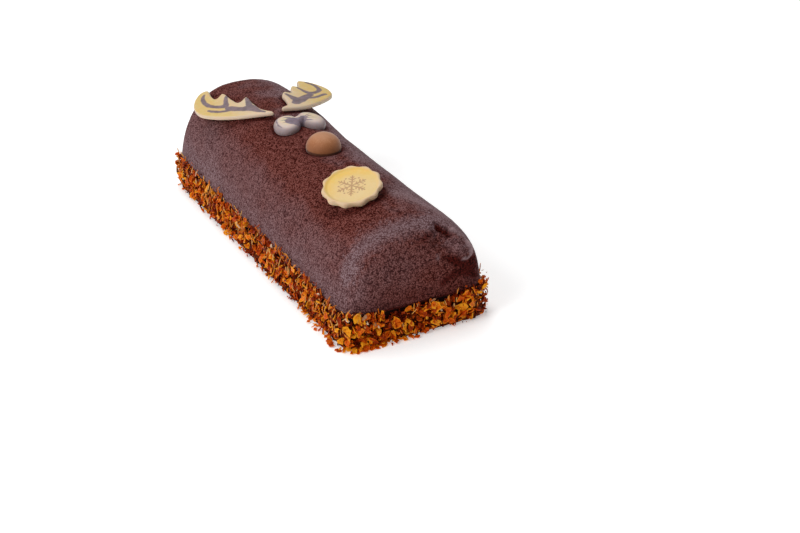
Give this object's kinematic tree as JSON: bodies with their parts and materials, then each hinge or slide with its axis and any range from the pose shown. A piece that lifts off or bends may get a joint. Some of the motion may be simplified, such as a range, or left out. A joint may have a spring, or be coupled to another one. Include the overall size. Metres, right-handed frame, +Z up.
{
  "type": "ice cream cake",
  "caption": "Log-shaped ice cream cake with a velvet cocoa coat, caramel flakes pressed round its foot, and chocolate antlers, eyes, a round nose and a scalloped plaque on top.",
  "frame": {"origin": "centre of the log's flat underside", "axes": "+Z up; +Y along the log, from the front end with the plaque towards the antlers; +X to the right, seen from the front"},
  "size_m": [0.0883, 0.2281, 0.067],
  "materials": {
    "velvet_coat": "matt sprayed cocoa velvet, fine grained",
    "caramel_flakes": "semi-gloss caramelised flakes",
    "ivory_chocolate": "satin ivory chocolate with grey-brown marbling",
    "yellow_chocolate": "satin pale yellow chocolate",
    "nose_chocolate": "frosted caramel-brown chocolate"
  },
  "bodies": {
    "root": {"log": "velvet_coat", "antler_left": "ivory_chocolate", "antler_right": "ivory_chocolate", "eyes": "ivory_chocolate", "nose": "nose_chocolate", "plaque": "yellow_chocolate"}
  },
  "joints": []
}
